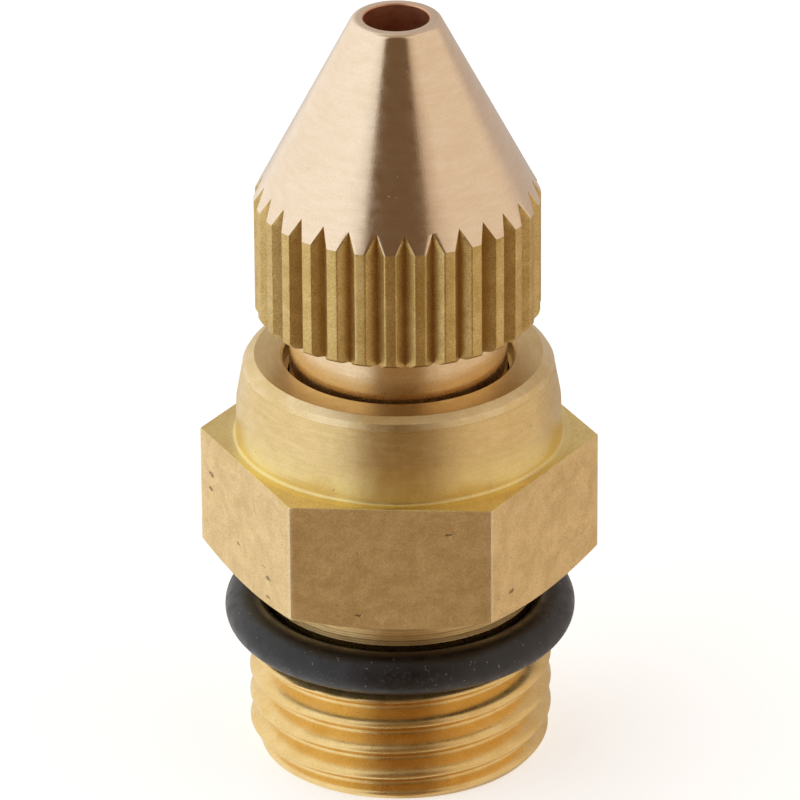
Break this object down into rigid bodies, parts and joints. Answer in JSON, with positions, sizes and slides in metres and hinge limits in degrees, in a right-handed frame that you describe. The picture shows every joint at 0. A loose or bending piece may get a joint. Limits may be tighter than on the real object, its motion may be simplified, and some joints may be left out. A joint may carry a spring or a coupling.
{
  "type": "adjustable burner nozzle",
  "caption": "Brass nozzle: hexagon body with a male thread and O-ring, and a knurled conical tip that screws in and out over a fixed needle.",
  "frame": {"origin": "centre of the inlet end face, on the nozzle's axis", "axes": "+Z along the axis from the inlet towards the mouth; +X through a corner of the hexagon"},
  "size_m": [0.0208, 0.0184, 0.0414],
  "materials": {
    "body_brass": "turned and milled, semi-matt",
    "tip_brass": "turned, polished",
    "black_rubber": "matt",
    "steel": "turned",
    "spring_steel": "dark spring temper",
    "white_plastic": "matt"
  },
  "bodies": {
    "body": {"nozzle_body": "body_brass", "face_seal_ring": "black_rubber", "needle_carrier": "body_brass", "metering_needle": "steel", "needle_lock_washer": "steel", "needle_lock_nut": "steel", "swirl_core": "body_brass", "swirl_core_clip": "spring_steel", "strainer_frame": "body_brass", "strainer_mesh": "steel", "strainer_clamp_ring": "body_brass", "inlet_snap_ring": "spring_steel"},
    "shank_rings": {"shank_seal_ring": "black_rubber", "shank_backup_ring": "white_plastic"},
    "tip": {"nozzle_tip": "tip_brass", "orifice_insert": "steel", "stop_ring": "spring_steel"}
  },
  "joints": [
    {"name": "tip_slide", "type": "slide", "parent": "body", "child": "shank_rings", "axis": [0, 0, 1], "range_m": [-0.00175, 0.00125]},
    {"name": "tip_turn", "type": "hinge", "parent": "shank_rings", "child": "tip", "pos_m": [0, 0, 0.02], "axis": [0, 0, 1], "range_deg": [-632, 452]}
  ],
  "couplings": [
    {"joint": "tip_turn", "follows": "tip_slide", "rad_per_m": 6283.2}
  ]
}
